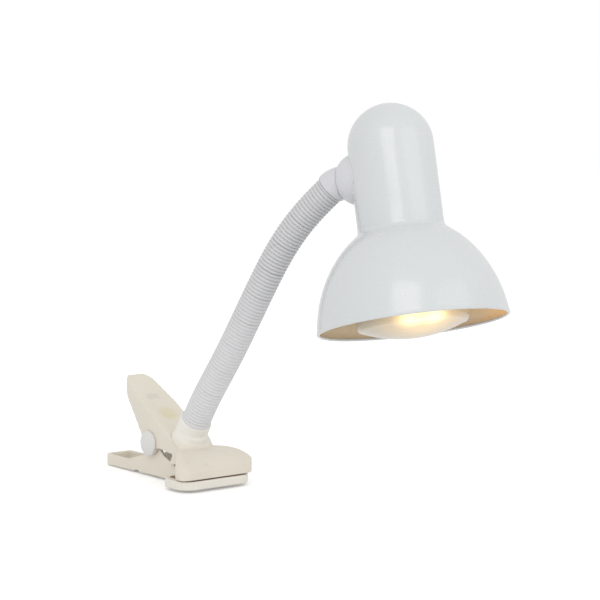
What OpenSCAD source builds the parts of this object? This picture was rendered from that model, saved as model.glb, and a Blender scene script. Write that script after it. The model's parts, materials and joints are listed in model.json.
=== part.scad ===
// Clip-on gooseneck desk lamp: a sprung two-lever clamp, a ribbed flexible neck in
// ten lengths, an elbow with a swivel, and a bell shade round a reflector bulb.
// Millimetres, +Z up, +X from the clamp's handles to its jaws.
// Origin: the centre of the upper jaw's grip face, with the jaws closed.

/* [Clamp jaws] */
// Length of both jaws, rear edge to front edge
jaw_l = 33; // [28:1:40]
// Width of the lower jaw
jaw_w = 63.5; // [54:0.5:78]
// Width that the upper jaw stands out past the lower jaw, on each side
jaw_flare = 2; // [0:0.5:3]
// Corner radius of the lower jaw in plan
jaw_corner_r = 12; // [6:0.5:14]
// Height of the upper jaw's side band
jaw_band_h = 6.5; // [5:0.5:8]
// Height of the upper jaw's crown above the grip face
jaw_crown_h = 18.5; // [16:0.5:21]
// Thickness of the lower jaw, without its pad
jaw_plate_h = 6.7; // [5:0.1:8]
// Radius of the round-bar groove across the jaws' rear half
bar_groove_r = 31; // [20:1:40]
// Length of the upper jaw's rubber grip pad
pad_l = 9; // [6:0.5:11]
// Length of the lower jaw's rubber grip pad
lower_pad_l = 27; // [12:1:28]
// Thickness of the rubber grip pads
pad_t = 1.5; // [1:0.1:2]
// Height that a pad stands out of its jaw
pad_proud = 0.3; // [0.2:0.1:0.6]
// Gap between the two pads with the clamp shut
jaw_gap = 0.3; // [0.3:0.1:1]

/* [Clamp levers] */
// Distance from the grip face's centre back to the pivot
pivot_back = 54.2; // [48:0.2:62]
// Height of the pivot above the grip face
pivot_h = 17.6; // [15:0.1:21]
// Wall thickness of both moulded levers
lever_wall = 2.6; // [2:0.1:3.2]
// Outer half width of the lower lever
lower_half_w = 12; // [10:0.5:14]
// Side clearance between the lower lever and the upper lever's walls
lever_clear = 0.4; // [0.3:0.1:0.8]
// Half width of the upper lever's handle at its tip
handle_half_w = 12.5; // [10:0.5:13]
// Distance from the pivot back to the handle's tip
handle_back = 43.5; // [34:0.5:50]
// Rise of the handle's top face, in degrees
handle_rise = 29.5; // [24:0.5:34]
// Height of the handle's top face straight above the pivot
crease_h = 24; // [21:0.1:28]
// Distance from the pivot back to the lower lever's tail
tail_back = 67.5; // [54:0.5:78]
// Height of the tail's side walls
tail_h = 9.2; // [6:0.1:11]
// Diameter of the pivot pin
pin_d = 5; // [4:0.5:6]
// Radius of the round pivot caps
cap_disc_r = 9.6; // [7.5:0.1:10.5]
// Thickness of the pivot caps
cap_disc_t = 4; // [3:0.5:5]
// Wire diameter of the torsion spring
spring_wire_d = 1.8; // [1.4:0.1:2.2]
// Mean radius of the torsion spring's coil
spring_r = 4.6; // [4.4:0.1:5.2]
// Turns of the torsion spring
spring_turns = 6; // [4:1:7]

/* [Neck] */
// Length of the neck between neighbouring bending points
seg_l = 21.3; // [17:0.1:26]
// Outer diameter of the ribbed cover
cover_d = 21.5; // [18:0.1:24]
// Bore of the ribbed cover
cover_bore_d = 17; // [14:0.1:18]
// Wall of the steel conduit inside the cover
conduit_wall = 1.7; // [1.2:0.1:2.2]
// Slope of the lengths' end faces, half the sharpest bend, in degrees
end_slope = 11.8; // [6:0.1:14]
// Distance from the grip face's centre back to the neck's foot
neck_foot_back = 13.2; // [11:0.2:20]
// Height of the neck's foot above the grip face
neck_foot_h = 39.1; // [35:0.1:44]
// Radius of the boss that the neck stands in
boss_r = 12; // [11.5:0.1:14]
// Depth of the neck's socket in the boss
boss_socket_l = 13; // [9:0.5:15]

/* [Elbow and swivel] */
// Outer radius of the elbow
elbow_r = 11.7; // [11:0.1:13]
// Bend radius of the elbow's centre line
elbow_bend_r = 17; // [14:0.5:24]
// Direction of the swivel axis above the horizontal, in degrees
swivel_rise = 11.6; // [0:0.2:25]
// Turn of the head about the swivel axis, in degrees
head_roll = -9.7; // [-30:0.1:30]
// Distance from the swivel face to the head's own axis
swivel_reach = 39.5; // [38:0.5:44]
// Radius of the ball that the swivel dome is cut from
dome_r = 18.8; // [17:0.1:21]
// Diameter of the threaded nipple
nipple_d = 10; // [8:0.5:12]
// Bore of the nipple for the lead
nipple_bore_d = 6.4; // [5:0.1:7]

/* [Shade] */
// Outer radius of the shade's cap
cap_r = 30; // [28:0.5:36]
// Height of the cap dome's centre above the swivel axis
cap_up = 18.4; // [14:0.2:24]
// Distance from the dome's centre down to the waist
cap_l = 60.3; // [52:0.1:70]
// Radius of the shade's mouth
rim_r = 66.3; // [56:0.1:78]
// Height of the bell, waist to rim
bell_h = 65; // [56:0.5:76]
// Distance from the rim down to the bell curve's widest level
bell_tuck = 8.5; // [4:0.5:14]
// Wall thickness of the shade
shade_t = 0.8; // [0.6:0.1:1.2]
// Radius of the rolled lip round the mouth
lip_r = 1.1; // [0.9:0.1:1.6]

/* [Lampholder] */
// Outer radius of the lampholder's skirt
holder_r = 19; // [18:0.1:19.4]
// Distance from the lampholder's mouth up to the bulb's contact
holder_depth = 25; // [23:0.5:27]
// Outer radius of the lampholder's cap
holder_cap_r = 15.5; // [13:0.5:16]
// Height of the lampholder's cap
holder_cap_h = 10; // [8:0.5:11]

/* [Bulb] */
// Overall length of the reflector bulb
bulb_l = 115; // [108:0.5:118]
// Radius of the bulb's face
bulb_r = 39.5; // [36:0.5:41]
// Distance from the bulb's face up to the shade's rim, negative with the face past the rim
bulb_inset = -9; // [-12:0.5:6]
// Major radius of the screw cap
screw_cap_r = 13.05; // [12.9:0.05:13.1]

/* [Hidden] */

// Angle of each neck length above the horizontal, from the foot to the head
neck_elevation = [55, 55, 56, 59, 60.5, 60.5, 60, 56, 49, 43];
// Angle of each neck length about the vertical, from the foot to the head
neck_azimuth = [0, 10, 12, 15, 17, 19, 22, 27, 29, 29];
neck_n = len(neck_elevation);

$fn = 64;
eps = 0.01;          // overlap that keeps cuts clean
seat_gap = 0.05;     // clearance of pieces that are fixed in each other
run_gap = 0.06;      // radial clearance of the two bearings
part_gap = 0.3;      // clearance between moving pieces that don't bear
big = 400;           // larger than the whole lamp

// ---- clamp: derived values, in the side view about the pivot ----
pin_r = pin_d / 2;
upper_half_w = lower_half_w + lever_clear + lever_wall;
jaw_rear = -jaw_l / 2;
jaw_front = jaw_l / 2;
lower_top = -jaw_gap - pad_proud;
lower_bottom = lower_top - jaw_plate_h;
pad_w = jaw_w - 12;
pad_x = jaw_front - 2 - pad_l / 2;
groove_x = jaw_rear + 2.5;
groove_z = jaw_band_h + 0.3 - bar_groove_r;
shoulder_h = 4.5;                       // height where the upper jaw is widest
upper_jaw_w = jaw_w + 2 * jaw_flare;
upper_corner_r = 9;
crown_x = -3;                         // where the crown begins to fall forward
crown_fall = jaw_crown_h - jaw_band_h;
crown_run = jaw_front - crown_x;
crown_r = (crown_run * crown_run + crown_fall * crown_fall) / (2 * crown_fall);
lower_pad_x = jaw_front - 2 - lower_pad_l / 2;
to_jaw = pivot_back - jaw_l / 2;      // from the pivot forward to the jaws' rear edge
grip = -pivot_h;                      // the grip face's height in the pivot's view
ear_r = cap_disc_r - 0.4;

function crease(x) = crease_h - x * tan(handle_rise);

// ---- neck: derived values ----
cover_r = cover_d / 2;
conduit_r = cover_bore_d / 2 - seat_gap;
ferrule_r = boss_r - 2.6;
flange_r = boss_r - 0.7;
spigot_l = 13;
boss_floor_t = 4;
boss_foot = -boss_socket_l - boss_floor_t;  // the boss's foot, along the neck
boss_skirt_l = 6;                    // round the nut below the foot
foot_spread = 4.5;
neck_washer_r = 8.5;
washer_t = 1.2;
neck_nut_t = 4;
neck_foot = [-neck_foot_back, 0, neck_foot_h];

function direction(elevation, azimuth) =
    [cos(elevation) * cos(azimuth), cos(elevation) * sin(azimuth), sin(elevation)];
function neck_point(k) = k == 0 ? neck_foot
    : neck_point(k - 1) + seg_l * direction(neck_elevation[k - 1], neck_azimuth[k - 1]);

// ---- elbow and head: derived values ----
head_azimuth = neck_azimuth[neck_n - 1];
elbow_turn = neck_elevation[neck_n - 1] - swivel_rise;
nipple_r = nipple_d / 2;
cap_in_r = cap_r - shade_t;
strip_t = 1.2;
strip_out_r = cap_in_r - 0.4;
strip_in_r = strip_out_r - strip_t;
nipple_washer_r = 6.4;
nipple_washer_t = 0.9;
nipple_nut_t = 2.6;
nipple_washer_x = -sqrt(strip_in_r * strip_in_r - nipple_washer_r * nipple_washer_r) + part_gap;
nipple_nut_x = nipple_washer_x + nipple_washer_t + seat_gap;
nipple_end_x = nipple_nut_x + nipple_nut_t + 0.8;
nipple_in_elbow = 7;

waist_z = cap_up - cap_l;
rim_z = waist_z - bell_h;
bell_low = rim_z - bell_tuck;
bell_den = pow(rim_r * (bell_h + bell_tuck), 2) - pow(cap_r * bell_tuck, 2);
bell_a = sqrt(bell_den / (rim_r * rim_r - cap_r * cap_r));
bell_b = sqrt(bell_den / (pow(bell_h + bell_tuck, 2) - bell_tuck * bell_tuck));

bulb_face_z = rim_z + bulb_inset;
bulb_top_z = bulb_face_z + bulb_l;
glass_t = 0.9;
screw_cap_l = 21;
insulator_l = 3;
tip_l = 1.6;
glass_top_z = bulb_top_z - tip_l - insulator_l - screw_cap_l + 3;
holder_mouth_z = bulb_top_z - holder_depth;
holder_floor_t = 2.4;
holder_floor_z = bulb_top_z + 1.6;
holder_cap_z = holder_floor_z + holder_floor_t;
holder_top_z = holder_cap_z + holder_cap_h;
// height of the lead entries and the terminal screws
entry_z = holder_cap_z + 4.5;
holder_bore_r = screw_cap_r + 1.6;
filament_z = bulb_face_z + 42;
filament_r = 7;

ivory = [0.87, 0.84, 0.79];
white = [0.86, 0.86, 0.86];
neck_grey = [0.82, 0.82, 0.83];
steel = [0.62, 0.63, 0.65];
brass = [0.78, 0.66, 0.36];

// ---- shared shapes ----
// Rectangle with round corners, centred
module rounded_plate(l, w, r) {
    square([l, w - 2 * r], center = true);
    square([l - 2 * r, w], center = true);
    for (x = [-1, 1], y = [-1, 1])
        translate([x * (l / 2 - r), y * (w / 2 - r)]) circle(r);
}

// Side view (x forward, y up) made into a solid of a half width, at the pivot
module side_slab(half_w) {
    translate([-pivot_back, 0, pivot_h])
        rotate([90, 0, 0]) linear_extrude(2 * half_w, center = true) children();
}

// Plan view made into a tall prism, with x from the pivot
module plan_prism() {
    translate([-pivot_back, 0, -big / 2]) linear_extrude(big) children();
}

// Places a piece along one length of the neck, +Z towards the head
module along_neck(k) {
    translate(neck_point(k - 1))
        rotate([0, 90 - neck_elevation[k - 1], neck_azimuth[k - 1]]) children();
}

// Places a piece at the swivel: +X into the head along the swivel axis
module at_elbow_end() {
    translate(neck_point(neck_n)) rotate([0, 0, head_azimuth])
        translate([elbow_bend_r * (sin(neck_elevation[neck_n - 1]) - sin(swivel_rise)), 0,
                   elbow_bend_r * (cos(swivel_rise) - cos(neck_elevation[neck_n - 1]))])
            rotate([0, -swivel_rise, 0]) children();
}

// Places a piece in the head: origin on the head's axis level with the swivel
module in_head() {
    at_elbow_end() rotate([head_roll, 0, 0]) translate([swivel_reach, 0, 0]) children();
}

// Tube that a turning ring of points makes along a path of points
function unit(v) = v / norm(v);
function path_way(p, i) = unit(p[min(i + 1, len(p) - 1)] - p[max(i - 1, 0)]);
function ring_at(p, i, r, sides) = let (
        t = path_way(p, i),
        ref = abs(t[1]) < 0.9 ? [0, 1, 0] : [1, 0, 0],
        u = unit(cross(ref, t)),
        v = cross(t, u))
    [for (j = [0:sides - 1]) p[i] + r * (cos(360 * j / sides) * u + sin(360 * j / sides) * v)];
module swept_wire(p, r, sides = 8) {
    n = len(p);
    polyhedron(
        points = [for (i = [0:n - 1]) each ring_at(p, i, r, sides)],
        faces = concat(
            [[for (j = [0:sides - 1]) j]],
            [for (i = [0:n - 2], j = [0:sides - 1]) let (k = (j + 1) % sides)
                [i * sides + j, (i + 1) * sides + j, (i + 1) * sides + k, i * sides + k]],
            [[for (j = [sides - 1:-1:0]) (n - 1) * sides + j]]),
        convexity = 10);
}

// ---- clamp ----
// Side view of the upper lever; inset gives its inside
module upper_profile(inset) {
    tip_h = 8;
    polygon([
        [-handle_back + 2 + inset, crease(-handle_back + 2) - inset * 1.4],
        [28, crease(28) - inset * 1.15],
        [to_jaw + 6, grip + jaw_crown_h - 1.5 - inset],
        [to_jaw + 6, grip + 3 - inset * 3],
        [26, -12 - inset * 3],
        [31 - inset * 3, -4.7 - inset * 2],
        [13, -2.6 - inset * 3],
        [-5, -6 - inset * 3],
        [-13 + inset, 7 - inset],
        [-handle_back + inset, crease(-handle_back) - tip_h - inset]]);
}

// Plan of the upper lever; half width grows from the handle's tip to the pivot
module upper_plan(inset) {
    tip = handle_half_w - inset;
    translate([-handle_back + handle_half_w, 0]) circle(tip);
    polygon([
        [-handle_back + handle_half_w, tip], [-10, upper_half_w - inset],
        [to_jaw + 8, upper_half_w - inset], [to_jaw + 8, -upper_half_w + inset],
        [-10, -upper_half_w + inset], [-handle_back + handle_half_w, -tip]]);
}

// Plan of the upper jaw: wide in front, running back to the lever's walls
module upper_jaw_plan(inset) {
    half = upper_jaw_w / 2 - inset;
    rear = upper_half_w - inset;
    full_x = jaw_front - 6;
    past = half + 2;
    intersection() {
        rounded_plate(jaw_l - 2 * inset, 2 * half, upper_corner_r - inset);
        polygon([[jaw_rear, rear], [full_x, past], [jaw_front, past],
                 [jaw_front, -past], [full_x, -past], [jaw_rear, -rear]]);
    }
}

// Front view of the upper jaw: flat on top, with round shoulders
module upper_jaw_front(inset) {
    foot = jaw_w / 2 - inset;
    round_r = jaw_crown_h - shoulder_h - inset;
    side = upper_jaw_w / 2 - inset - round_r;
    polygon([[-foot, pad_proud + inset], [foot, pad_proud + inset],
             [foot + jaw_flare, shoulder_h], [-foot - jaw_flare, shoulder_h]]);
    translate([-side, pad_proud + inset])
        square([2 * side, jaw_crown_h - pad_proud - 2 * inset]);
    for (y = [-side, side]) intersection() {
        translate([y, shoulder_h]) circle(round_r, $fn = 96);
        translate([-big / 2, shoulder_h - 1]) square([big, big]);
    }
}

// Side view of the upper jaw: an arc that falls forward to the front band
module upper_jaw_side(inset) {
    front = jaw_front - inset;
    foot = pad_proud + inset;
    translate([jaw_rear + inset, foot])
        square([jaw_l - 2 * inset, jaw_band_h - foot]);
    intersection() {
        translate([crown_x, jaw_crown_h - crown_r]) circle(crown_r - inset, $fn = 160);
        translate([jaw_rear + inset, foot]) square([jaw_l - 2 * inset, big]);
    }
    translate([jaw_rear + inset, foot])
        square([crown_x - jaw_rear - inset, jaw_crown_h - foot - inset]);
}

module upper_jaw(inset) intersection() {
    linear_extrude(big) upper_jaw_plan(inset);
    rotate([90, 0, 90]) linear_extrude(big, center = true) upper_jaw_front(inset);
    rotate([90, 0, 0]) linear_extrude(big, center = true) upper_jaw_side(inset);
}

module bar_groove(extra) {
    translate([groove_x, 0, groove_z]) rotate([90, 0, 0])
        cylinder(h = big, r = bar_groove_r + extra, center = true, $fn = 96);
}

module upper_lever() color(ivory) difference() {
    union() {
        upper_jaw(0);
        intersection() {
            side_slab(upper_half_w) {
                upper_profile(0);
                circle(ear_r);
            }
            plan_prism() upper_plan(0);
        }
        // boss, and its foot that spreads forward over the crown
        along_neck(1) {
            translate([0, 0, boss_foot - boss_skirt_l])
                cylinder(h = boss_skirt_l - boss_foot, r = boss_r);
            translate([foot_spread, 0, boss_foot])
                cylinder(h = foot_spread, r1 = boss_r + foot_spread, r2 = boss_r + 1);
            translate([foot_spread / 2, 0, boss_foot])
                cylinder(h = 2 * foot_spread, r1 = boss_r + foot_spread / 2, r2 = boss_r - 1);
        }
    }
    // hollow of the lever and of the jaw
    difference() {
        union() {
            intersection() {
                side_slab(upper_half_w - lever_wall) {
                    upper_profile(lever_wall);
                    circle(ear_r + part_gap);
                }
                plan_prism() upper_plan(lever_wall);
            }
            upper_jaw(lever_wall);
        }
        bar_groove(lever_wall);
        along_neck(1) translate([0, 0, boss_foot - boss_skirt_l])
            cylinder(h = boss_skirt_l - boss_foot, r = boss_r);
    }
    bar_groove(0);
    // socket for the ferrule, the hole for its spigot, and room for its nut below
    along_neck(1) {
        translate([0, 0, -boss_socket_l]) cylinder(h = big, r = ferrule_r + seat_gap);
        translate([0, 0, boss_foot - 1]) cylinder(h = boss_floor_t + 2, r = nipple_r + 0.2);
        translate([0, 0, boss_foot - spigot_l]) cylinder(h = spigot_l, r = neck_washer_r + 0.5);
    }
    // pin bore
    translate([-pivot_back, 0, pivot_h]) rotate([90, 0, 0])
        cylinder(h = big, r = pin_r + seat_gap, center = true);
    // recess for the pad
    translate([pad_x, 0, pad_proud - eps]) linear_extrude(pad_t - pad_proud + seat_gap)
        rounded_plate(pad_l + 2 * seat_gap, pad_w + 2 * seat_gap, 3);
}

// Side view of the lower lever's walls about the pivot
module lower_profile() {
    bottom = grip + lower_bottom;
    polygon([
        [-tail_back, bottom - 1.5], [to_jaw + 2, bottom],
        [to_jaw + 2, grip + lower_top], [26, -12.1], [14, -7.8],
        [7, 0], [-7, -1],
        [-11, -10], [-34, -17.2], [-tail_back, bottom - 1.5 + tail_h]]);
    circle(ear_r);
}

module lower_lever() color(ivory) difference() {
    notch_back = 23;
    notch_r = 6;
    union() {
        translate([0, 0, lower_bottom]) linear_extrude(jaw_plate_h)
            rounded_plate(jaw_l, jaw_w, jaw_corner_r);
        intersection() {
            side_slab(lower_half_w) lower_profile();
            plan_prism() {
                translate([-tail_back + 5, -lower_half_w])
                    square([tail_back + to_jaw, 2 * lower_half_w]);
                translate([-tail_back + 5, 0]) rounded_plate(10, 2 * lower_half_w, 4);
            }
        }
    }
    // channel between the side walls
    translate([-pivot_back, 0, pivot_h]) {
        rotate([90, 0, 0])
            linear_extrude(2 * (lower_half_w - lever_wall), center = true)
                polygon([
                    [-tail_back + lever_wall, grip + lower_bottom - 1.5 + lever_wall],
                    [to_jaw, grip + lower_bottom + lever_wall], [to_jaw, big],
                    [-tail_back + lever_wall, big]]);
        rotate([90, 0, 0]) cylinder(h = big, r = pin_r + run_gap, center = true);
        // thumb notch in the walls' lower edge
        translate([-notch_back, 0, grip + lower_bottom + 0.5 - notch_r]) rotate([90, 0, 0])
            cylinder(h = big, r = notch_r, center = true);
    }
    // recess for the pad
    translate([lower_pad_x, 0, lower_top - pad_t + pad_proud - seat_gap])
        linear_extrude(pad_t)
            rounded_plate(lower_pad_l + 2 * seat_gap, pad_w + 2 * seat_gap, 3);
}

module grip_pad(l) {
    difference() {
        linear_extrude(pad_t) rounded_plate(l, pad_w, 3);
        // two drain grooves across the jaw
        for (x = [-l / 5, l / 5]) translate([x, 0, 0])
            cube([1, pad_w - 8, 0.8], center = true);
    }
}

module upper_pad() color([0.55, 0.44, 0.36]) translate([pad_x, 0, 0]) grip_pad(pad_l);

module lower_pad() color([0.55, 0.44, 0.36])
    translate([lower_pad_x, 0, -jaw_gap]) mirror([0, 0, 1]) grip_pad(lower_pad_l);

module pivot_pin() color(steel) translate([-pivot_back, 0, pivot_h]) rotate([90, 0, 0])
    cylinder(h = 2 * (upper_half_w + cap_disc_t * 0.5), r = pin_r, center = true);

module pivot_cap() {
    dome_r1 = (cap_disc_r * cap_disc_r + 4) / 4;
    rotate_extrude() difference() {
        intersection() {
            square([cap_disc_r, cap_disc_t]);
            translate([0, cap_disc_t - dome_r1]) circle(dome_r1, $fn = 160);
        }
        translate([-eps, -eps]) square([pin_r + seat_gap + eps, cap_disc_t * 0.5 + seat_gap]);
    }
}

module pivot_caps() color(white) for (s = [-1, 1])
    translate([-pivot_back, s * (upper_half_w + seat_gap), pivot_h]) rotate([-s * 90, 0, 0])
        pivot_cap();

module torsion_spring() {
    half = spring_turns * spring_wire_d * 1.08 / 2;
    wire_r = spring_wire_d / 2;
    up_end = [-22, crease(-22) - lever_wall * 1.4 - wire_r - part_gap];
    low_end = [-40, grip + lower_bottom - 1.1 + lever_wall + wire_r + part_gap];
    up_at = atan2(up_end[1], up_end[0]) + acos(spring_r / norm(up_end));
    low_at = atan2(low_end[1], low_end[0]) - acos(spring_r / norm(low_end));
    turn = 360 * (spring_turns - 1) + (low_at - up_at) + 360 * ceil((up_at - low_at) / 360);
    steps = spring_turns * 20;
    coil = [for (i = [0:steps]) let (a = up_at + turn * i / steps)
        [spring_r * cos(a), -half + 2 * half * i / steps, spring_r * sin(a)]];
    color(steel) translate([-pivot_back, 0, pivot_h])
        swept_wire(concat([[up_end[0], -half, up_end[1]]], coil,
                          [[low_end[0], half, low_end[1]]]), wire_r);
}

// ---- foot of the neck ----
module neck_ferrule() color(steel) along_neck(1) difference() {
    union() {
        translate([0, 0, -boss_socket_l + seat_gap])
            cylinder(h = boss_socket_l - seat_gap, r = ferrule_r);
        translate([0, 0, -boss_socket_l - spigot_l]) cylinder(h = spigot_l + 1, r = nipple_r);
    }
    translate([0, 0, -boss_socket_l + 2]) cylinder(h = big, r = conduit_r + seat_gap);
    translate([0, 0, -big / 2]) cylinder(h = big, r = nipple_bore_d / 2);
}

module neck_washer() color(steel) along_neck(1)
    translate([0, 0, -boss_socket_l - boss_floor_t - washer_t - seat_gap]) difference() {
        cylinder(h = washer_t, r = neck_washer_r);
        translate([0, 0, -1]) cylinder(h = washer_t + 2, r = nipple_r + 0.2);
    }

module neck_nut() color(brass) along_neck(1)
    translate([0, 0, -boss_socket_l - boss_floor_t - washer_t - neck_nut_t - 2 * seat_gap])
        difference() {
            cylinder(h = neck_nut_t, r = 8, $fn = 6);
            translate([0, 0, -1]) cylinder(h = neck_nut_t + 2, r = nipple_r + seat_gap);
        }

module cord_bush() color([0.2, 0.2, 0.2]) along_neck(1)
    translate([0, 0, -boss_socket_l - spigot_l]) rotate_extrude() {
        translate([nipple_bore_d / 2 - 1, -1.6]) square([2.6, 1.6 - seat_gap]);
        translate([nipple_bore_d / 2 - 1, -1.6]) square([1 - seat_gap, 8]);
    }

// ---- neck ----
// One length of tube whose coned ends leave room for the bend at each end
module neck_length(k, r_out, r_in, below, above) {
    a = k == 1 ? below : part_gap / 2;
    slope_a = k == 1 ? 0 : tan(end_slope);
    b = k == neck_n ? above : -part_gap / 2;
    slope_b = k == neck_n ? 0 : tan(end_slope);
    along_neck(k) rotate_extrude()
        polygon([
            [r_in, a + r_in * slope_a], [r_out, a + r_out * slope_a],
            [r_out, seg_l + b - r_out * slope_b], [r_in, seg_l + b - r_in * slope_b]]);
}

module neck_cover(k) color(neck_grey) {
    neck_length(k, cover_r, cover_bore_d / 2, seat_gap, -seat_gap);
    if (k == 1) along_neck(1) rotate_extrude()
        translate([cover_bore_d / 2, seat_gap]) square([flange_r - cover_bore_d / 2, 1.3]);
}

module neck_conduit(k) color(steel)
    neck_length(k, conduit_r, conduit_r - conduit_wall, -boss_socket_l + 2 + seat_gap, 3);

// ---- elbow and swivel ----
module elbow_arc(r) {
    last = neck_elevation[neck_n - 1];
    translate(neck_point(neck_n)) rotate([0, 0, head_azimuth])
        translate([elbow_bend_r * sin(last), 0, -elbow_bend_r * cos(last)])
            rotate([90, 0, 0]) rotate([0, 0, 90 + swivel_rise])
                rotate_extrude(angle = elbow_turn) translate([elbow_bend_r, 0]) circle(r);
}

module elbow() color(white) difference() {
    elbow_arc(elbow_r);
    // a quarter turn keeps the socket's seam off the elbow's own
    along_neck(neck_n) rotate([0, 0, 90]) translate([0, 0, seg_l - 2])
        cylinder(h = 5 + seat_gap, r = conduit_r + seat_gap);
    at_elbow_end() translate([-nipple_in_elbow - seat_gap, 0, 0]) rotate([0, 90, 0]) {
        cylinder(h = nipple_in_elbow + 2, r = nipple_r + seat_gap);
        translate([0, 0, -4]) cylinder(h = 6, r = nipple_bore_d / 2);
    }
}

module nipple() color(brass) at_elbow_end() translate([-nipple_in_elbow, 0, 0])
    rotate([0, 90, 0]) difference() {
        cylinder(h = nipple_in_elbow + swivel_reach + nipple_end_x, r = nipple_r);
        translate([0, 0, -1]) cylinder(h = big, r = nipple_bore_d / 2);
    }

module nipple_washer() color(steel) at_elbow_end()
    translate([swivel_reach + nipple_washer_x, 0, 0]) rotate([0, 90, 0]) difference() {
        cylinder(h = nipple_washer_t, r = nipple_washer_r);
        translate([0, 0, -1]) cylinder(h = nipple_washer_t + 2, r = nipple_r + seat_gap);
    }

module nipple_nut() color(brass) at_elbow_end()
    translate([swivel_reach + nipple_nut_x, 0, 0]) rotate([0, 90, 0]) difference() {
        cylinder(h = nipple_nut_t, r = 7.2, $fn = 6);
        translate([0, 0, -1]) cylinder(h = nipple_nut_t + 2, r = nipple_r + seat_gap);
    }

module swivel_dome() color(white) in_head() difference() {
    intersection() {
        translate([-cap_r + dome_r * 0.28, 0, 0]) sphere(dome_r, $fn = 96);
        translate([-swivel_reach + part_gap, -big / 2, -big / 2]) cube([swivel_reach, big, big]);
    }
    cylinder(h = big, r = cap_r + seat_gap, center = true, $fn = 160);
    // hollow round the central sleeve
    difference() {
        translate([-cap_r + dome_r * 0.28, 0, 0]) sphere(dome_r - 2.6, $fn = 96);
        translate([-big - swivel_reach + 3.5, -big / 2, -big / 2]) cube([big, big, big]);
        rotate([0, 90, 0]) cylinder(h = big, r = nipple_r + 3, center = true);
    }
    rotate([0, 90, 0]) cylinder(h = big, r = nipple_r + run_gap, center = true);
}

// ---- shade ----
// Solid of the shade's outside; inset gives its inside
module shade_form(inset) {
    a = bell_a - inset;
    b = bell_b - inset;
    from = asin((cap_r - inset - 1) / b);
    to = acos((rim_z - bell_low) / a);
    steps = 20;
    foot_z = rim_z - (inset > 0 ? lip_r + 2 : 0);
    translate([0, 0, cap_up]) sphere(cap_r - inset, $fn = 160);
    translate([0, 0, waist_z - 0.5]) cylinder(h = cap_l + 0.5, r = cap_r - inset, $fn = 160);
    rotate_extrude($fn = 160) polygon(concat(
        [[0, bell_low + a * cos(from)]],
        [for (i = [0:steps]) let (t = from + (to - from) * i / steps)
            [b * sin(t), bell_low + a * cos(t)]],
        [[b * sin(to), foot_z], [0, foot_z]]));
}

module head_shell() color(white) in_head() difference() {
    union() {
        shade_form(0);
        rotate_extrude($fn = 160)
            translate([rim_r - lip_r + 0.3, rim_z + 0.3]) circle(lip_r, $fn = 24);
    }
    shade_form(shade_t);
    rotate([0, -90, 0]) cylinder(h = big, r = nipple_r + part_gap);
}

// ---- lampholder ----
module holder_bracket() color(steel) in_head() {
    strip_half = 7;
    top = holder_top_z + strip_t;
    difference() {
        intersection() {
            // room that the cap leaves
            union() {
                translate([0, 0, cap_up]) sphere(strip_out_r, $fn = 160);
                translate([0, 0, cap_up - big]) cylinder(h = big, r = strip_out_r, $fn = 160);
            }
            translate([-cap_r, -strip_half, -8]) cube([cap_r + 7, 2 * strip_half, top + 8]);
        }
        translate([0, 0, -big + holder_top_z + seat_gap])
            cylinder(h = big, r = strip_in_r, $fn = 160);
        rotate([0, -90, 0]) cylinder(h = big, r = nipple_r + part_gap);
        for (x = [-9, 2]) translate([x, 0, 0]) cylinder(h = big, r = 1.6);
    }
}

module bracket_screws() color(steel) in_head()
    for (x = [-9, 2]) translate([x, 0, holder_top_z + strip_t + seat_gap]) {
        cylinder(h = 1.8, r = 2.8);
        translate([0, 0, -7]) cylinder(h = 7, r = 1.5);
    }

module holder_cap() color([0.15, 0.15, 0.15]) in_head() difference() {
    translate([0, 0, holder_cap_z + seat_gap])
        cylinder(h = holder_cap_h - seat_gap, r = holder_cap_r);
    for (x = [-9, 2]) translate([x, 0, holder_top_z - 6.5]) cylinder(h = 7, r = 1.5 + seat_gap);
    // entries for the two leads
    for (y = [-5, 5]) translate([-holder_cap_r - 1, y, entry_z])
        rotate([0, 90, 0]) cylinder(h = 5, r = 1.5);
    // seats of the terminal screws
    for (y = [-1, 1]) translate([6, y * holder_cap_r, entry_z])
        rotate([90 * y, 0, 0]) cylinder(h = 6, r = 1.5 + seat_gap);
}

module terminal_screws() color(brass) in_head()
    for (y = [-1, 1]) translate([6, y * holder_cap_r, entry_z])
        rotate([90 * y, 0, 0]) translate([0, 0, 0.4]) cylinder(h = 5.4, r = 1.5);

module holder_body() color([0.15, 0.15, 0.15]) in_head() rotate_extrude() {
    translate([holder_bore_r, holder_mouth_z])
        square([holder_r - holder_bore_r, holder_cap_z - holder_mouth_z]);
    translate([3, holder_floor_z]) square([holder_r - 3, holder_floor_t]);
}

module contact_shell() color(brass) in_head() rotate_extrude()
    translate([holder_bore_r - 0.55, holder_mouth_z + 2])
        square([0.5, holder_floor_z - holder_mouth_z - 2.2]);

module centre_contact() color(brass) in_head() {
    translate([0, 0, bulb_top_z + seat_gap]) cylinder(h = 0.6, r = 4);
    translate([0, 0, bulb_top_z + 0.5]) cylinder(h = 3.4, r = 1.4);
}

module lead_wires() {
    side = nipple_end_x + 1.2;
    for (y = [-1, 1]) color(y < 0 ? [0.1, 0.25, 0.6] : [0.4, 0.22, 0.1]) in_head()
        swept_wire([
            [side - 3.5, y * 1.2, 0], [side - 1.2, y * 1.2, 0], [side - 0.4, y * 1.5, 0.9],
            [side - 0.1, y * 2.2, entry_z * 0.3], [side, y * 3.4, entry_z * 0.53],
            [side + 0.4, y * 4.6, entry_z - 1.8], [side + 1.7, y * 5, entry_z - 0.3],
            [side + 3.4, y * 5, entry_z], [-holder_cap_r + 2.8, y * 5, entry_z]],
            0.8);
}

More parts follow.
